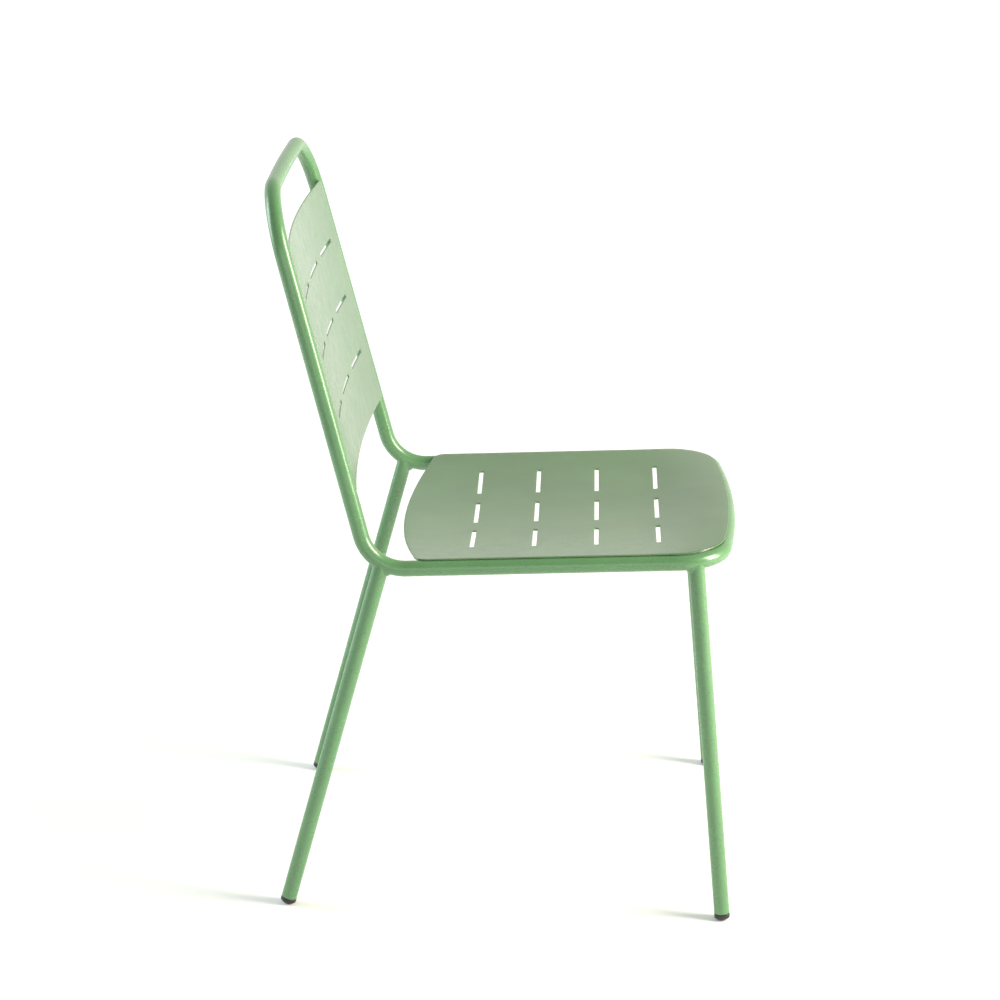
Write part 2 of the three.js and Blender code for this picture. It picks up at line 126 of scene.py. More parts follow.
# Powder coat. The noises are in cells to the metre, and the tints are (noise value, factor on the colour).
FILM_NOISE = 14
SHEEN_NOISE = 60
PEEL_NOISE = 500
GRAIN_NOISE = 2600
FILM_TINTS = [(0.3, 0.93), (0.52, 1.0), (0.72, 1.07)]
GRAIN_TINTS = [(0.28, 0.93), (0.5, 1.0), (0.8, 1.0)]
GRAIN_STRENGTH = 0.5
GRAIN_DEPTH = 0.1  # of the depth of the orange peel
COAT_IOR = 1.65
TUBE_SAGE = (0.1, 0.24, 0.1)
TUBE_ROUGHNESS = (0.25, 0.31)
TUBE_PEEL_DEPTH = 0.015 * MM
# Painted shade: the sheets carry the same sage paint as the frame, drawn darker and greyer here.
SHADED_SHEET_SAGE = (0.094, 0.184, 0.081)
SHEET_ROUGHNESS = (0.18, 0.24)
SHEET_PEEL_DEPTH = 0.006 * MM

# Moulded plastic, in the same units.
MOTTLE_NOISE = 180
MOULD_SHEEN_NOISE = 500
MOULD_GRAIN_NOISE = 2200
MOULD_TINTS = [(0.35, 1.0), (0.75, 1.9)]
MOULD_ROUGHNESS = (0.32, 0.5)
MOULD_GRAIN_DEPTH = 0.05 * MM
GLIDE_BLACK = (0.013, 0.013, 0.014)


def tint(colour, factor):
    return tuple(min(1, channel * factor) for channel in colour)


def smoothstep(value):
    k = min(1, max(0, value))
    return k * k * (3 - 2 * k)


class Shader:
    """A material's node tree, with short calls to add and link nodes."""

    def __init__(self, name):
        self.material = bpy.data.materials.new(name)
        self.material.use_nodes = True
        self.tree = self.material.node_tree
        self.surface = self.tree.nodes["Principled BSDF"]
        self.place = self.add("ShaderNodeTexCoord").outputs["Object"]

    def add(self, kind, **values):
        node = self.tree.nodes.new(kind)
        for key, value in values.items():
            if key in node.inputs:
                node.inputs[key].default_value = value
            else:
                setattr(node, key, value)
        return node

    def link(self, output, socket):
        self.tree.links.new(output, socket)

    def noise(self, scale, detail=2):
        """Noise at so many cells to the metre."""
        texture = self.add("ShaderNodeTexNoise", Scale=scale, Detail=detail)
        self.link(self.place, texture.inputs["Vector"])
        return texture.outputs["Fac"]

    def ramp(self, value, stops):
        """A colour that runs through (value, colour) stops."""
        node = self.add("ShaderNodeValToRGB")
        elements = node.color_ramp.elements
        while len(elements) < len(stops):
            elements.new(0.5)
        for element, (position, colour) in zip(elements, stops):
            element.position = position
            element.color = (*colour, 1)
        self.link(value, node.inputs["Fac"])
        return node.outputs["Color"]

    def tints(self, value, colour, stops):
        """A colour that is darker or lighter by (value, factor) stops."""
        return self.ramp(value, [(position, tint(colour, factor)) for position, factor in stops])

    def spread(self, value, low, high):
        """A noise's value, spread from low to high."""
        node = self.add("ShaderNodeMapRange")
        node.inputs["From Min"].default_value, node.inputs["From Max"].default_value = NOISE_SPAN
        node.inputs["To Min"].default_value = low
        node.inputs["To Max"].default_value = high
        self.link(value, node.inputs["Value"])
        return node.outputs["Result"]

    def multiply(self, first, second, factor):
        """The first colour, multiplied by the second as far as the factor says."""
        node = self.add("ShaderNodeMix", data_type="RGBA", blend_type="MULTIPLY")
        node.inputs[MIX_FACTOR].default_value = factor
        self.link(first, node.inputs[MIX_A])
        self.link(second, node.inputs[MIX_B])
        return node.outputs[MIX_RESULT]

    def bump(self, height, depth, normal=None):
        node = self.add("ShaderNodeBump", Strength=1, Distance=depth)
        self.link(height, node.inputs["Height"])
        if normal is not None:
            self.link(normal, node.inputs["Normal"])
        return node.outputs["Normal"]


def powder_coat(name, colour, roughness, peel_depth):
    """Satin powder coat: a film of slightly uneven colour and sheen, with orange peel and a fine grain."""
    shader = Shader(name)
    film = shader.tints(shader.noise(FILM_NOISE, detail=4), colour, FILM_TINTS)
    grain = shader.noise(GRAIN_NOISE, detail=1)
    speckle = shader.tints(grain, (1, 1, 1), GRAIN_TINTS)
    shader.link(shader.multiply(film, speckle, GRAIN_STRENGTH), shader.surface.inputs["Base Color"])
    cloudy = shader.noise(SHEEN_NOISE, detail=3)
    shader.link(shader.spread(cloudy, *roughness), shader.surface.inputs["Roughness"])
    peel = shader.bump(shader.noise(PEEL_NOISE), peel_depth)
    fine = shader.bump(grain, peel_depth * GRAIN_DEPTH, normal=peel)
    shader.link(fine, shader.surface.inputs["Normal"])
    shader.surface.inputs["IOR"].default_value = COAT_IOR
    return shader.material


def moulded_plastic(name, colour):
    """Matt moulded plastic with a spark-eroded texture and rubbed paler patches."""
    shader = Shader(name)
    mottled = shader.tints(shader.noise(MOTTLE_NOISE, detail=5), colour, MOULD_TINTS)
    shader.link(mottled, shader.surface.inputs["Base Color"])
    sheen = shader.spread(shader.noise(MOULD_SHEEN_NOISE), *MOULD_ROUGHNESS)
    shader.link(sheen, shader.surface.inputs["Roughness"])
    grain = shader.bump(shader.noise(MOULD_GRAIN_NOISE, detail=3), MOULD_GRAIN_DEPTH)
    shader.link(grain, shader.surface.inputs["Normal"])
    return shader.material


PAINT = powder_coat("frame_powder_coat", TUBE_SAGE, TUBE_ROUGHNESS, TUBE_PEEL_DEPTH)
# The sheets' material holds that darker sage: painted shade on the frame's own paint, with its own roughness
# and orange peel.
SHEET_PAINT_AND_SHADE = powder_coat("sheet_powder_coat_with_painted_shade", SHADED_SHEET_SAGE, SHEET_ROUGHNESS, SHEET_PEEL_DEPTH)
GLIDE_PLASTIC = moulded_plastic("glide_plastic", GLIDE_BLACK)


# ---- making pieces ----------------------------------------------------------------------------------------
def add_piece(name, mesh, material, slot, *nodes):
    """Links a mesh as a piece of the chair that stands for the named CAD nodes."""
    shape = bmesh.new()
    shape.from_mesh(mesh)
    bmesh.ops.recalc_face_normals(shape, faces=shape.faces)
    shape.to_mesh(mesh)
    shape.free()
    mesh.shade_smooth()
    mesh.set_sharp_from_angle(angle=SHARP_ANGLE)
    mesh.materials.append(material)
    piece = bpy.data.objects.new(name, mesh)
    bpy.context.scene.collection.objects.link(piece)
    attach(piece, "root")
    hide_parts(*nodes)
    return piece


def loft(name, rings, joined=False):
    """A skin over rings of points. It is capped at both ends, or joined runs it back to the first ring."""
    count = len(rings[0])
    faces = []
    for i in range(len(rings) - (0 if joined else 1)):
        here = i * count
        there = (i + 1) % len(rings) * count
        for j in range(count):
            k = (j + 1) % count
            faces.append((here + j, here + k, there + k, there + j))
    if not joined:
        last = (len(rings) - 1) * count
        faces.append(tuple(range(count)))
        faces.append(tuple(range(last, last + count)))
    mesh = bpy.data.meshes.new(name)
    mesh.from_pydata([point for ring in rings for point in ring], [], faces)
    return mesh


def circle(place, heading, side, radius, sides=TUBE_SIDES):
    """Points round a circle that faces along heading, the first one towards side."""
    across = heading.cross(side)
    angles = [2 * math.pi * i / sides for i in range(sides)]
    return [place + radius * (math.cos(a) * side + math.sin(a) * across) for a in angles]


def swept_rings(stations, radius, sides=TUBE_SIDES):
    """Circles along (place, heading) stations, carried round the bends without twist."""
    before = stations[0][1]
    side = before.orthogonal().normalized()
    rings = []
    for place, heading in stations:
        side = before.rotation_difference(heading) @ side
        rings.append(circle(place, heading, side, radius, sides))
        before = heading
    return rings


# ---- bent centrelines -------------------------------------------------------------------------------------
def corner_arc(before, corner, after, radius):
    """The arc that rounds a corner, as a function from 0..1 to (place, heading), and the angle it turns."""
    back = (before - corner).normalized()
    ahead = (after - corner).normalized()
    half = back.angle(ahead) / 2
    centre = corner + (back + ahead).normalized() * (radius / math.sin(half))
    spoke = corner + back * (radius / math.tan(half)) - centre
    turn = math.pi - 2 * half
    axis = (-back).cross(ahead).normalized()

    def at(k):
        swing = Matrix.Rotation(k * turn, 3, axis)
        return centre + swing @ spoke, swing @ -back

    return at, turn


def bent_path(start, corners, end):
    """(place, heading) stations along straight runs that are joined by round (corner, radius) bends."""
    points = [start, *(corner for corner, _ in corners), end]
    stations = [(start, (points[1] - start).normalized())]
    for i, (corner, radius) in enumerate(corners):
        at, turn = corner_arc(points[i], corner, points[i + 2], radius)
        steps = math.ceil(max(turn / BEND_ANGLE_STEP, turn * radius / BEND_LENGTH_STEP))
        stations += [at(k / steps) for k in range(steps + 1)]
    stations.append((end, (end - points[-2]).normalized()))
    return stations


def rail_point(x, y):
    return Vector((x, y, RAIL_HEIGHT + x * math.tan(SEAT_TILT)))


BEND_CORNER = rail_point(BEND_X, 0)
UP_POST = Vector((-math.sin(BACK_RECLINE), 0, math.cos(BACK_RECLINE)))


def top_point(y, apex=0):
    return BEND_CORNER + UP_POST * POST_LENGTH + Vector((-apex, y, 0))


FRONT_PATH = bent_path(
    rail_point(JOINT_X, SEAT_HALF_WIDTH),
    [
        (rail_point(FRONT_X, SEAT_HALF_WIDTH), FRONT_CORNER_RADIUS),
        (rail_point(FRONT_X + FRONT_APEX, 0), FRONT_RAIL_RADIUS),
        (rail_point(FRONT_X, -SEAT_HALF_WIDTH), FRONT_CORNER_RADIUS),
    ],
    rail_point(JOINT_X, -SEAT_HALF_WIDTH),
)
BACK_PATH = bent_path(
    rail_point(JOINT_X, -SEAT_HALF_WIDTH),
    [
        (rail_point(BEND_X, -SEAT_HALF_WIDTH), SEAT_BEND_RADIUS),
        (top_point(-TOP_HALF_WIDTH), TOP_CORNER_RADIUS),
        (top_point(0, TOP_APEX), TOP_RAIL_RADIUS),
        (top_point(TOP_HALF_WIDTH), TOP_CORNER_RADIUS),
        (rail_point(BEND_X, SEAT_HALF_WIDTH), SEAT_BEND_RADIUS),
    ],
    rail_point(JOINT_X, SEAT_HALF_WIDTH),
)


def make_loop():
    for node, path in (("seat_hoop", FRONT_PATH), ("back_hoop", BACK_PATH)):
        mesh = loft(f"{node}_tube", swept_rings(path, TUBE_RADIUS))
        add_piece(f"{node}_tube", mesh, PAINT, "frame_paint", node)


# ---- legs, welds and glides -------------------------------------------------------------------------------
def nearest_on(path, point):
    """The point of a path's centreline that is nearest to a given one."""
    best, least = None, math.inf
    for (a, _), (b, _) in zip(path, path[1:]):
        run = b - a
        k = min(1, max(0, (point - a).dot(run) / max(run.length_squared, TINY)))
        found = a + run * k
        distance = (found - point).length
        if distance < least:
            best, least = found, distance
    return best


TUBE_END_ROUND = 0.5 * MM
WELD_SIZE = 4 * MM  # reach of the fillet along each tube
WELD_STATIONS = 144
WELD_PROFILE = 9
WELD_RIPPLES = 22
WELD_SUNK = 1.2 * MM  # how far its hidden back goes into each tube
WELD_SEARCH_STEPS = 24  # halvings of the span in which a leg's surface meets the loop's
WELD_CREASE_REACH = 0.22  # share of the reach that is left where one surface runs on into the other
WELD_HUMP = 1.125  # height of the bead, where 1 is flat from tube to tube
WELD_RIPPLE_DEPTH = 0.09
WELD_UNEVENNESS = 0.16
WELD_WAVINESS = 2.2
WELD_OUTER_LOSS = 0.7  # the bead is smaller on the side that faces out of the chair
WELD_OUTER_SPAN = 0.5
WELD_SEED_SPREAD = 10


def leg_radius_stations(foot, up, length):
    """The tube of a leg: rounded over at its foot, and running into the loop's tube at its top."""
    low = GLIDE_HEIGHT
    rows = [
        (low + TUBE_END_ROUND * (1 - math.sin(a)), TUBE_RADIUS - TUBE_END_ROUND * (1 - math.cos(a)))
        for a in reversed(QUARTER_TURN)
    ]
    rows.append((length, TUBE_RADIUS))
    return [(foot + up * height, radius) for height, radius in rows]


def weld_ring(path, foot, up, side, length, angle, reach_at):
    """One section of the weld fillet: a closed ring from the leg's surface over to the loop's and inside."""
    out = math.cos(angle) * side + math.sin(angle) * up.cross(side)
    low, high = length / 2, length
    for _ in range(WELD_SEARCH_STEPS):
        middle = (low + high) / 2
        point = foot + out * TUBE_RADIUS + up * middle
        if (nearest_on(path, point) - point).length > TUBE_RADIUS:
            low = middle
        else:
            high = middle
    corner = foot + out * TUBE_RADIUS + up * low
    loop_out = (corner - nearest_on(path, corner)).normalized()
    openness = math.sqrt(max(0, 1 - max(0, out.dot(loop_out))))
    reach = reach_at(out) * (WELD_CREASE_REACH + (1 - WELD_CREASE_REACH) * openness)
    on_leg = corner - up * reach
    beside = corner + out * reach
    centre = nearest_on(path, beside)
    on_loop = centre + (beside - centre).normalized() * TUBE_RADIUS
    swell = WELD_HUMP + WELD_RIPPLE_DEPTH * math.cos(WELD_RIPPLES * angle)
    hump = corner + ((on_leg + on_loop) / 2 - corner) * swell
    ring = []
    for i in range(WELD_PROFILE):
        k = i / (WELD_PROFILE - 1)
        ring.append((1 - k) ** 2 * on_leg + 2 * k * (1 - k) * hump + k * k * on_loop)
    ring.append(on_loop - (beside - centre).normalized() * WELD_SUNK)
    ring.append(on_leg - out * WELD_SUNK)
    return ring


def make_leg(end, side_name, sign):
    path = FRONT_PATH if end == "front" else BACK_PATH
    x, y = FRONT_FOOT if end == "front" else REAR_FOOT
    join_x = FRONT_LEG_JOIN_X if end == "front" else REAR_LEG_JOIN_X
    foot = Vector((x, sign * y, 0))
    top = nearest_on(path, rail_point(join_x, sign * SEAT_HALF_WIDTH))
    up = (top - foot).normalized()
    length = (top - foot).length
    side = Vector((0, 1, 0)).cross(up).normalized()

    rows = leg_radius_stations(foot, up, length)
    mesh = loft(f"{end}_leg_{side_name}_tube", [circle(place, up, side, radius) for place, radius in rows])
    add_piece(mesh.name, mesh, PAINT, "frame_paint", f"{end}_leg_{side_name}")

    seed = Vector((x, sign * y, 1)) * WELD_SEED_SPREAD

    def reach_at(out):
        uneven = 1 + WELD_UNEVENNESS * noise.noise(seed + WELD_WAVINESS * out)
        outwards = out.x if end == "front" else -out.x
        return WELD_SIZE * uneven * (1 - WELD_OUTER_LOSS * smoothstep(outwards / WELD_OUTER_SPAN))

    angles = [2 * math.pi * i / WELD_STATIONS for i in range(WELD_STATIONS)]
    rings = [weld_ring(path, foot, up, side, length, angle, reach_at) for angle in angles]
    mesh = loft(f"leg_weld_{end}_{side_name}_fillet", rings, joined=True)
    add_piece(mesh.name, mesh, PAINT, "frame_paint", f"leg_weld_{end}_{side_name}")

    make_glide(end, side_name, foot, up, side)


GLIDE_DOME_RADIUS = 12 * MM
GLIDE_DOME_CENTRE = 11 * MM  # its height above the floor, so a dome of 12 mm is worn to a flat
GLIDE_DOME_STEPS = 14
GLIDE_GAP = 0.3 * MM  # between its rim and the tube's end
GLIDE_RIM_ROUND = 0.8 * MM
GLIDE_STEM_RADIUS = 7.7 * MM
GLIDE_STEM_LENGTH = 6 * MM


def make_glide(end, side_name, foot, up, side):
    """A pressed-in plastic foot: a dome worn to a small flat, a rim below the tube and a stem inside."""
    rim_angle = math.asin(TUBE_RADIUS / GLIDE_DOME_RADIUS)
    centre = GLIDE_DOME_CENTRE / up.z
    rows = []
    for i in range(1, GLIDE_DOME_STEPS + 1):
        angle = rim_angle * i / GLIDE_DOME_STEPS
        rows.append((centre - GLIDE_DOME_RADIUS * math.cos(angle), GLIDE_DOME_RADIUS * math.sin(angle)))
    shoulder = GLIDE_HEIGHT - GLIDE_GAP
    for angle in QUARTER_TURN:
        height = shoulder - GLIDE_RIM_ROUND * (1 - math.sin(angle))
        rows.append((height, TUBE_RADIUS - GLIDE_RIM_ROUND * (1 - math.cos(angle))))
    rows.append((shoulder, GLIDE_STEM_RADIUS))
    rows.append((shoulder + GLIDE_STEM_LENGTH, GLIDE_STEM_RADIUS))
    rings = [circle(foot + up * height, up, side, radius) for height, radius in rows]
    rings = [[Vector((p.x, p.y, max(p.z, 0))) for p in ring] for ring in rings]
    mesh = loft(f"foot_glide_{end}_{side_name}_plug", rings)
    add_piece(mesh.name, mesh, GLIDE_PLASTIC, "glide_plastic", f"foot_glide_{end}_{side_name}")


# ---- sheets -----------------------------------------------------------------------------------------------
EDGE_ROUND = 0.6 * MM
EDGE_STEPS = 4
OUTLINE_STEP = 4 * MM
OUTLINE_ANGLE_STEP = math.radians(12)
FILL_TRIANGLES = 0  # asks the triangulation for all triangles
MERGE_DISTANCE = 1e-9


def rounded_outline(corners):
    """Points round an outline of straight runs and round (x, y, radius) corners, with no point doubled."""
    at = [Vector((x, y, 0)) for x, y, _ in corners]
    points = []
    for i, (_, _, radius) in enumerate(corners):
        arc, turn = corner_arc(at[i - 1], at[i], at[(i + 1) % len(at)], radius)
        steps = math.ceil(max(turn / OUTLINE_ANGLE_STEP, turn * radius / OUTLINE_STEP))
        points += [arc(k / steps)[0].xy for k in range(steps + 1)]
    filled = []
    for here, there in zip(points, points[1:] + points[:1]):
        pieces = max(1, round((there - here).length / OUTLINE_STEP))
        filled += [here.lerp(there, k / pieces) for k in range(pieces)]
    return filled


def slot_outline(x, y, size):
    half_width, half_length = size[0] / 2, size[1] / 2
    corners = [(-1, -1), (1, -1), (1, 1), (-1, 1)]
    return rounded_outline([(x + i * half_width, y + j * half_length, SLOT_CORNER) for i, j in corners])


def moved_in(loop, distance, hole):
    """A loop's points moved into the sheet: inwards from its outline, or outwards from a slot."""
    count = len(loop)
    area = sum(loop[i].cross(loop[(i + 1) % count]) for i in range(count))
    turn = 1 if (area > 0) != hole else -1
    moved = []
    for i in range(count):
        along = (loop[(i + 1) % count] - loop[i - 1]).normalized()
        moved.append(loop[i] + Vector((-along.y, along.x)) * turn * distance)
    return moved


def inside(loop, x, y):
    """Which of the points (x, y) lie inside a loop."""
    within = np.zeros(len(x), bool)
    for here, there in zip(loop, loop[1:] + loop[:1]):
        spans = (here.y > y) != (there.y > y)
        rise = (there.y - here.y) or TINY
        within ^= spans & (x < here.x + (y - here.y) * (there.x - here.x) / rise)
    return within


def sheet_mesh(name, outline, slots, place):
    """A sheet with rounded edges. place(x, y, depth) puts a point of its plan, at a depth below its top."""
    loops = [(outline, False), *((slot, True) for slot in slots)]
    rims = [moved_in(loop, EDGE_ROUND, hole) for loop, hole in loops]

    # The faces of the sheet: triangles between the rims and a grid of points.
    edges = []
    plan = []
    for rim in rims:
        first = len(plan)
        plan += rim
        edges += [(first + i, first + (i + 1) % len(rim)) for i in range(len(rim))]
    rim_x, rim_y = np.array([tuple(point) for point in plan]).T
    spans = [np.arange(rim.min(), rim.max(), SHEET_CELL) for rim in (rim_x, rim_y)]
    grid_x, grid_y = [grid.ravel() for grid in np.meshgrid(*spans)]
    clear = inside(rims[0], grid_x, grid_y)
    for rim in rims[1:]:
        clear &= ~inside(rim, grid_x, grid_y)
    gaps = np.hypot(grid_x[:, None] - rim_x, grid_y[:, None] - rim_y).min(axis=1)
    clear &= gaps > GRID_CLEARANCE
    plan += [Vector(point) for point in zip(grid_x[clear], grid_y[clear])]
    plan, _, triangles, origins, _, _ = delaunay_2d_cdt(plan, edges, [], FILL_TRIANGLES, MERGE_DISTANCE)
    made_from = {source: index for index, sources in enumerate(origins) for source in sources}
    middles = np.array([[sum(plan[i][axis] for i in face) / 3 for axis in (0, 1)] for face in triangles])
    kept = inside(rims[0], *middles.T)
    for rim in rims[1:]:
        kept &= ~inside(rim, *middles.T)

    verts = [place(p.x, p.y, 0) for p in plan] + [place(p.x, p.y, SHEET_THICKNESS) for p in plan]
    below = len(plan)
    faces = []
    for face, keep in zip(triangles, kept):
        if keep:
            faces.append(tuple(face))
            faces.append(tuple(below + i for i in reversed(face)))

    # The edge, rolled over from the top rim to the bottom one.
    turns = [math.pi / 2 * i / EDGE_STEPS for i in range(1, EDGE_STEPS + 1)]
    rows = [(EDGE_ROUND * (1 - math.sin(a)), EDGE_ROUND * (1 - math.cos(a))) for a in turns]
    rows += [(inset, SHEET_THICKNESS - depth) for inset, depth in reversed(rows)]
    start = 0
    for loop, hole in loops:
        count = len(loop)
        above = [made_from[start + i] for i in range(count)]
        ring = above
        for inset, depth in rows:
            following = list(range(len(verts), len(verts) + count))
            verts += [place(p.x, p.y, depth) for p in moved_in(loop, inset, hole)]
            for i in range(count):
                j = (i + 1) % count
                faces.append((ring[i], ring[j], following[j], following[i]))
            ring = following
        for i in range(count):
            j = (i + 1) % count
            faces.append((ring[i], ring[j], below + above[j], below + above[i]))
        start += count
    mesh = bpy.data.meshes.new(name)
    mesh.from_pydata(verts, [], faces)
    shape = bmesh.new()
    shape.from_mesh(mesh)
    bmesh.ops.delete(shape, geom=[v for v in shape.verts if not v.link_faces], context="VERTS")
    shape.to_mesh(mesh)
    shape.free()
    return mesh


def front_rail_x(y):
    """Where the front rail's centreline is at a distance y from the middle, in the plane of the rails."""
    apex_angle = math.atan2(FRONT_APEX, SEAT_HALF_WIDTH)
    middle = FRONT_X + FRONT_APEX - FRONT_RAIL_RADIUS * (1 / math.cos(apex_angle) - 1)
    return middle - FRONT_RAIL_RADIUS + math.sqrt(FRONT_RAIL_RADIUS**2 - y**2)


SEAT_FRAME = Matrix.Translation((0, 0, RAIL_HEIGHT)) @ Matrix.Rotation(-SEAT_TILT, 4, "Y")
BACK_FRAME = Matrix.Translation(BEND_CORNER) @ Matrix.Rotation(-(math.pi / 2 + BACK_RECLINE), 4, "Y")


def seat_place(x, y, depth):
    fade = smoothstep((front_rail_x(y) - x) / SEAT_FADE)
    lifted = SEAT_FRONT_LIFT * smoothstep((x - SEAT_LIFT_START) / SEAT_LIFT_RUN)
    height = TUBE_RADIUS + SEAT_CLEARANCE + lifted + SHEET_THICKNESS
    height -= SEAT_SAG * fade * (1 - (y / SEAT_HALF_WIDTH) ** 2)
    return SEAT_FRAME @ Vector((x, y, height - depth))


def back_half_width(x):
    return SEAT_HALF_WIDTH + (TOP_HALF_WIDTH - SEAT_HALF_WIDTH) * x / POST_LENGTH - BACK_INSET


def back_place(x, y, depth):
    """The back's +Z points backwards, so depth runs from its rear face to the front."""
    rear_face = math.sqrt(TUBE_RADIUS**2 - BACK_INSET**2)
    height = BACK_SAG * (1 - (y / back_half_width(x)) ** 2) - rear_face
    return BACK_FRAME @ Vector((x, y, height - depth))


def make_seat():
    half = SEAT_HALF_WIDTH + SEAT_EDGE
    outline = rounded_outline(
        [
            (FRONT_X + SEAT_EDGE, -half, SEAT_CORNER),
            (FRONT_X + FRONT_APEX + SEAT_EDGE, 0, SEAT_FRONT_RADIUS),
            (FRONT_X + SEAT_EDGE, half, SEAT_CORNER),
            (SEAT_REAR_ENDS, half, SEAT_REAR_CORNER),
            (SEAT_REAR_APEX, 0, SEAT_REAR_RADIUS),
            (SEAT_REAR_ENDS, -half, SEAT_REAR_CORNER),
        ]
    )
    slots = [slot_outline(x, y, SEAT_SLOT_SIZE) for x in SEAT_SLOTS_ALONG for y in SEAT_SLOTS_ACROSS]
    mesh = sheet_mesh("seat_pressed_sheet", outline, slots, seat_place)
    add_piece("seat_pressed_sheet", mesh, SHEET_PAINT_AND_SHADE, "sheet_paint", "seat_sheet")


def make_back():
    shoulder = BACK_TOP - BACK_SHOULDER
    side = [
        (BACK_BOTTOM, back_half_width(BACK_BOTTOM), BACK_CORNER),
        (shoulder, back_half_width(shoulder), BACK_SHOULDER_RADIUS),
        (BACK_TOP, back_half_width(BACK_TOP) - BACK_NARROWING, BACK_CORNER),
    ]
    outline = rounded_outline([*((x, -y, radius) for x, y, radius in side), *reversed(side)])
    slots = [slot_outline(x, y, BACK_SLOT_SIZE) for x in BACK_SLOTS_ALONG for y in BACK_SLOTS_ACROSS]
    mesh = sheet_mesh("back_pressed_sheet", outline, slots, back_place)
    add_piece("back_pressed_sheet", mesh, SHEET_PAINT_AND_SHADE, "sheet_paint", "back_sheet")


# ---- the short welds that hold the sheets -----------------------------------------------------------------
TACK_RADIUS = 2.6 * MM
TACK_HALF_LENGTH = 11.5 * MM
TACK_RIPPLES = 8
TACK_STEPS = 40
TACK_SIDES = 20
TACK_END_SHARPNESS = 5  # the higher, the blunter its ends
TACK_END_AREA = 0.02  # area of the small flat at each end, where the middle's is 1
TACK_RIPPLE_DEPTH = 0.07
TACK_UNEVENNESS = 0.08
TACK_SEED_SPREAD = 40
TACK_WAVINESS = 3


def make_tack(node, direction):
    """A short rippled bead in the corner between a sheet and its tube, where the CAD node is."""
    low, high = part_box(node)
    middle = (Vector(low) + Vector(high)) / 2
    side = direction.orthogonal().normalized()
    rings = []
    for i in range(TACK_STEPS + 1):
        k = -1 + 2 * i / TACK_STEPS
        round_off = math.sqrt(max(TACK_END_AREA, 1 - abs(k) ** TACK_END_SHARPNESS))
        uneven = TACK_UNEVENNESS * noise.noise(middle * TACK_SEED_SPREAD + side * TACK_WAVINESS * k)
        ripple = 1 + TACK_RIPPLE_DEPTH * math.cos(TACK_RIPPLES * math.pi * k) + uneven
        place = middle + direction * TACK_HALF_LENGTH * k
        rings.append(circle(place, direction, side, TACK_RADIUS * round_off * ripple, TACK_SIDES))
    mesh = loft(f"{node}_bead", rings)
    add_piece(mesh.name, mesh, PAINT, "frame_paint", node)


def make_tacks():
    along_rail = Vector((math.cos(SEAT_TILT), 0, math.sin(SEAT_TILT)))
    for side_name, sign in (("left", 1), ("right", -1)):
        narrowing = sign * (TOP_HALF_WIDTH - SEAT_HALF_WIDTH) / POST_LENGTH
        along_post = (UP_POST + Vector((0, narrowing, 0))).normalized()
        for i in (1, 2, 3):
            make_tack(f"seat_weld_{side_name}_{i}", along_rail)
            make_tack(f"back_weld_{side_name}_{i}", along_post)
    for i in (1, 2):
        make_tack(f"seat_weld_front_{i}", Vector((0, 1, 0)))


# ---- the set ----------------------------------------------------------------------------------------------
CAMERA_PLACE = Vector((0.1055, -3.253, 1.5394))
CAMERA_YAW = -0.03583
CAMERA_PITCH = -0.32102
CAMERA_ROLL = -0.0037
CAMERA_LENS = 99.1  # mm
SENSOR_WIDTH = 36  # mm

FLOOR_HALF_SIZE = 15
FLOOR_NOISE = 1.5
FLOOR_WHITES = [(0.3, (0.87, 0.87, 0.89)), (0.7, (0.9, 0.9, 0.92))]
FLOOR_ROUGHNESS = 0.9
FLOOR_SPECULAR = 0.1
FLOOR_GLOW_SPAN = (-1, 6)  # along Y, from the near side to far behind the chair
FLOOR_GLOW = (0, 0.8)

WORLD_DEPTH = (0.36, 1.1)  # strength on the near side and behind the chair
WORLD_HEIGHT = (1.0, 0.6)  # factor on it near the horizon and overhead
WORLD_LOW = 0.1  # the height at which the factor starts to fall, where overhead is 1
WORLD_REAR_COLOUR = (0.95, 1.0, 0.97)
WORLD_FRONT_COLOUR = (1.0, 0.95, 0.83)

LIGHT_TARGET = (0, 0, 0.45)
SOFTBOXES = [
    # name, place, size, watts, colour
    ("right_softbox", (2.5, -0.6, 1.5), (1.0, 1.8), 150, (1.0, 0.95, 0.79)),
    ("left_softbox", (-2.4, 0.4, 1.3), (1.3, 1.8), 42, (0.88, 1.0, 0.98)),
    ("front_softbox", (-0.6, -3.6, 0.9), (3.2, 1.4), 22, (0.97, 1.0, 0.98)),
]


def make_camera():
    forward = Vector(
        (
            math.sin(CAMERA_YAW) * math.cos(CAMERA_PITCH),
            math.cos(CAMERA_YAW) * math.cos(CAMERA_PITCH),
            math.sin(CAMERA_PITCH),
        )
    )
    level = Vector((math.cos(CAMERA_YAW), -math.sin(CAMERA_YAW), 0))
    above = level.cross(forward)
    right = level * math.cos(CAMERA_ROLL) + above * math.sin(CAMERA_ROLL)
    over = above * math.cos(CAMERA_ROLL) - level * math.sin(CAMERA_ROLL)
    data = bpy.data.cameras.new("camera")
    data.sensor_width = SENSOR_WIDTH
    data.lens = CAMERA_LENS
    camera = bpy.data.objects.new("camera", data)
    turn = Matrix((right, over, -forward)).transposed().to_4x4()
    camera.matrix_world = Matrix.Translation(CAMERA_PLACE) @ turn
    bpy.context.scene.collection.objects.link(camera)
    bpy.context.scene.camera = camera


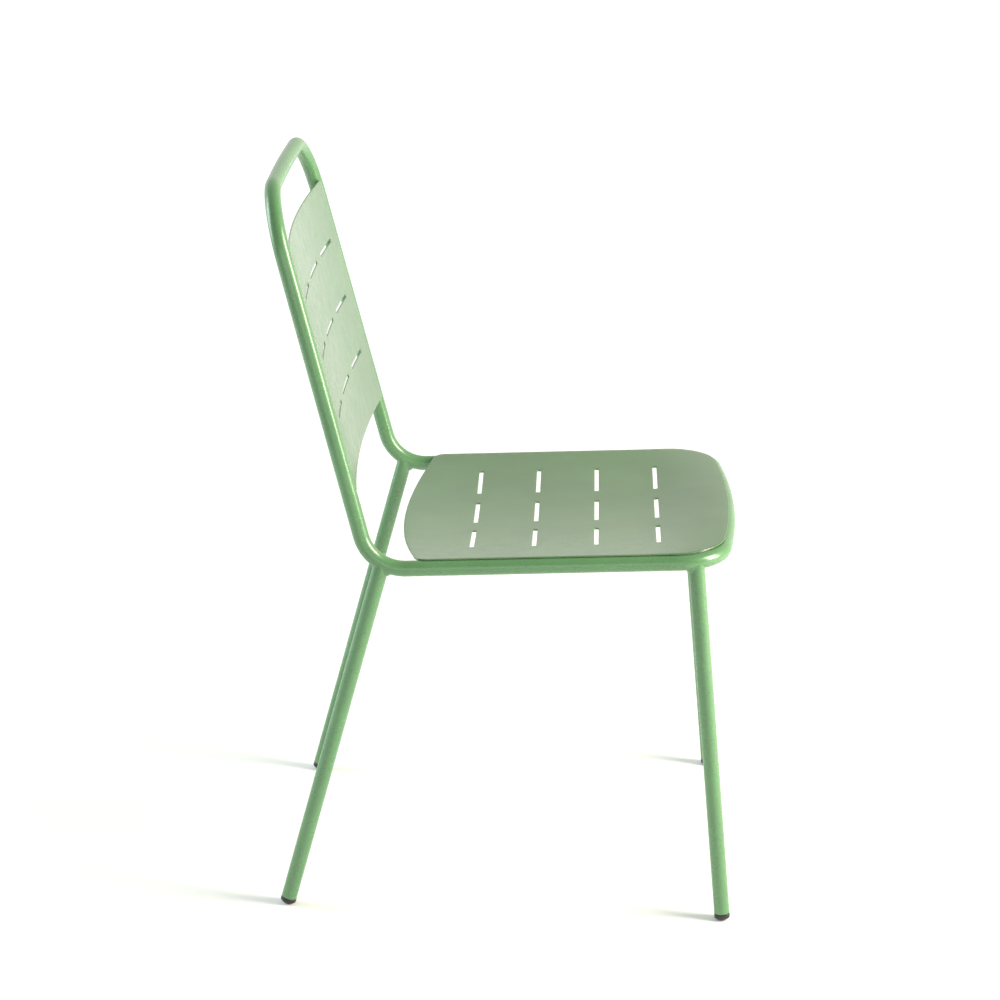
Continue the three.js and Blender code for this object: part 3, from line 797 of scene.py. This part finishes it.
def make_floor():
    """A pale floor that glows softly behind the chair, as a lit backdrop does."""
    shader = Shader("floor_pale")
    shade = shader.ramp(shader.noise(FLOOR_NOISE), FLOOR_WHITES)
    shader.link(shade, shader.surface.inputs["Base Color"])
    shader.surface.inputs["Roughness"].default_value = FLOOR_ROUGHNESS
    shader.surface.inputs["Specular IOR Level"].default_value = FLOOR_SPECULAR
    shader.surface.inputs["Emission Color"].default_value = (1, 1, 1, 1)
    split = shader.add("ShaderNodeSeparateXYZ")
    shader.link(shader.place, split.inputs[0])
    glow = shader.add("ShaderNodeMapRange", interpolation_type="SMOOTHSTEP")
    glow.inputs["From Min"].default_value, glow.inputs["From Max"].default_value = FLOOR_GLOW_SPAN
    glow.inputs["To Min"].default_value, glow.inputs["To Max"].default_value = FLOOR_GLOW
    shader.link(split.outputs["Y"], glow.inputs["Value"])
    shader.link(glow.outputs["Result"], shader.surface.inputs["Emission Strength"])
    corners = [(-1, -1), (1, -1), (1, 1), (-1, 1)]
    mesh = bpy.data.meshes.new("floor")
    mesh.from_pydata([(FLOOR_HALF_SIZE * x, FLOOR_HALF_SIZE * y, 0) for x, y in corners], [], [(0, 1, 2, 3)])
    mesh.materials.append(shader.material)
    floor = bpy.data.objects.new("floor", mesh)
    bpy.context.scene.collection.objects.link(floor)


def make_softbox(name, place, size, power, colour):
    data = bpy.data.lights.new(name, "AREA")
    data.shape = "RECTANGLE"
    data.size, data.size_y = size
    data.energy = power
    data.color = colour
    light = bpy.data.objects.new(name, data)
    light.location = place
    light.rotation_euler = (Vector(LIGHT_TARGET) - Vector(place)).to_track_quat("-Z", "Y").to_euler()
    light.visible_camera = False
    bpy.context.scene.collection.objects.link(light)


def make_world():
    """A white studio: brightest behind the chair, dimmer overhead and on the near side."""
    world = bpy.data.worlds.new("studio")
    world.use_nodes = True
    tree = world.node_tree
    background = tree.nodes["Background"]
    place = tree.nodes.new("ShaderNodeTexCoord")
    split = tree.nodes.new("ShaderNodeSeparateXYZ")
    tree.links.new(place.outputs["Generated"], split.inputs[0])

    def ranged(output, low, high, start=-1):
        node = tree.nodes.new("ShaderNodeMapRange")
        node.interpolation_type = "SMOOTHSTEP"
        node.inputs["From Min"].default_value = start
        node.inputs["From Max"].default_value = 1
        node.inputs["To Min"].default_value = low
        node.inputs["To Max"].default_value = high
        tree.links.new(output, node.inputs["Value"])
        return node.outputs["Result"]

    depth = ranged(split.outputs["Y"], *WORLD_DEPTH)
    height = ranged(split.outputs["Z"], *WORLD_HEIGHT, start=WORLD_LOW)
    strength = tree.nodes.new("ShaderNodeMath")
    strength.operation = "MULTIPLY"
    tree.links.new(depth, strength.inputs[0])
    tree.links.new(height, strength.inputs[1])
    tree.links.new(strength.outputs[0], background.inputs["Strength"])
    colour = tree.nodes.new("ShaderNodeMix")
    colour.data_type = "RGBA"
    tree.links.new(ranged(split.outputs["X"], 0, 1), colour.inputs[MIX_FACTOR])
    colour.inputs[MIX_A].default_value = (*WORLD_REAR_COLOUR, 1)
    colour.inputs[MIX_B].default_value = (*WORLD_FRONT_COLOUR, 1)
    tree.links.new(colour.outputs[MIX_RESULT], background.inputs["Color"])
    bpy.context.scene.world = world


def make_set():
    make_camera()
    make_floor()
    make_world()
    for softbox in SOFTBOXES:
        make_softbox(*softbox)
    scene = bpy.context.scene
    scene.view_settings.view_transform = "Standard"
    scene.cycles.use_denoising = True


make_loop()
for end_name in ("front", "rear"):
    make_leg(end_name, "left", 1)
    make_leg(end_name, "right", -1)
make_seat()
make_back()
make_tacks()
make_set()
